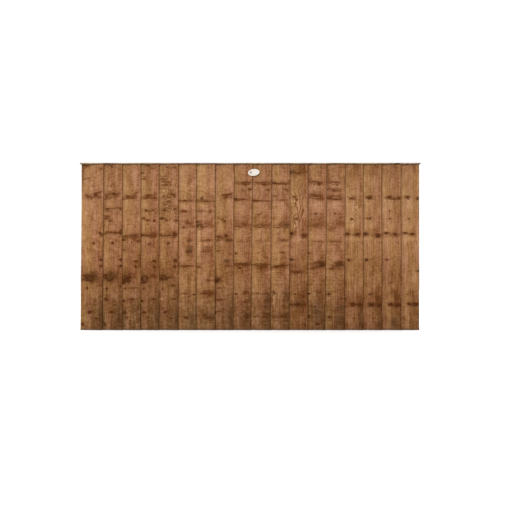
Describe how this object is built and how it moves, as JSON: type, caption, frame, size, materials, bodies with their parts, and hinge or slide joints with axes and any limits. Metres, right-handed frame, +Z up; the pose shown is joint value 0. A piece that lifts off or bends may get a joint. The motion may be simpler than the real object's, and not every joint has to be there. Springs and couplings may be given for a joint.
{
  "type": "closeboard fence panel",
  "caption": "Closeboard fence panel: upright feather-edge boards, each lapped over the next, nailed to a batten frame under a flat capping strip, with a blank oval plaque.",
  "frame": {"origin": "middle of the panel's foot, at the underside of the boards and stiles", "axes": "+X along the panel, to the right seen from the boarded front; +Y from the front to the back; +Z up"},
  "size_m": [1.83, 0.0546, 0.9],
  "materials": {
    "boards": "rough sawn, brown treated",
    "frame_timber": "rough sawn, brown treated",
    "capping": "planed, brown treated",
    "nails": "dull galvanised",
    "plaque": "satin white",
    "pins": "plated"
  },
  "bodies": {
    "root": {"board_01": "boards", "board_02": "boards", "board_03": "boards", "board_04": "boards", "board_05": "boards", "board_06": "boards", "board_07": "boards", "board_08": "boards", "board_09": "boards", "board_10": "boards", "board_11": "boards", "board_12": "boards", "board_13": "boards", "board_14": "boards", "board_15": "boards", "board_16": "boards", "board_17": "boards", "board_18": "boards", "left_stile": "frame_timber", "right_stile": "frame_timber", "top_rail": "frame_timber", "middle_rail": "frame_timber", "bottom_rail": "frame_timber", "capping_strip": "capping", "top_rail_nails": "nails", "middle_rail_nails": "nails", "bottom_rail_nails": "nails", "frame_nails": "nails", "cap_nails": "nails", "oval_plaque": "plaque", "plaque_pins": "pins"}
  },
  "joints": []
}
